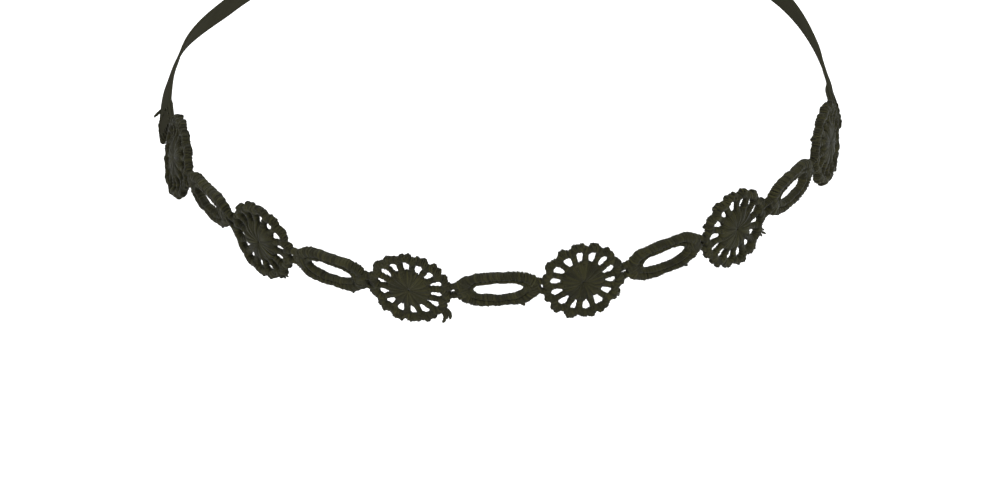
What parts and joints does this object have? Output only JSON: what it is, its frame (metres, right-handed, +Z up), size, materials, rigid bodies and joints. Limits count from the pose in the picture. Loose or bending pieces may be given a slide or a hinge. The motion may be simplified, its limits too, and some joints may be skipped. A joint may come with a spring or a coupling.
{
  "type": "choker necklace",
  "caption": "Black embroidered lace choker, closed in a ring: round spoked rosettes alternate with long oval links, and a narrow ribbon closes it behind the neck.",
  "frame": {"origin": "centre of the ring on the neck's axis, at the height of the lace's middle", "axes": "+Z up along the neck, towards the head; -Y is the front of the neck; +X is the right-hand side seen from the front"},
  "size_m": [0.1116, 0.1102, 0.0137],
  "materials": {
    "lace_thread": "black embroidery thread with an olive cast, wound in satin stitches",
    "ribbon_cloth": "black woven ribbon, smooth, with a low sheen",
    "clasp_metal": "black lacquer on metal"
  },
  "bodies": {
    "root": {"rosette_1": "lace_thread", "rosette_2": "lace_thread", "rosette_3": "lace_thread", "rosette_4": "lace_thread", "rosette_5": "lace_thread", "rosette_6": "lace_thread", "oval_link_1": "lace_thread", "oval_link_2": "lace_thread", "oval_link_3": "lace_thread", "oval_link_4": "lace_thread", "oval_link_5": "lace_thread", "ribbon_left": "ribbon_cloth", "ribbon_right": "ribbon_cloth", "clasp": "clasp_metal"}
  },
  "joints": []
}
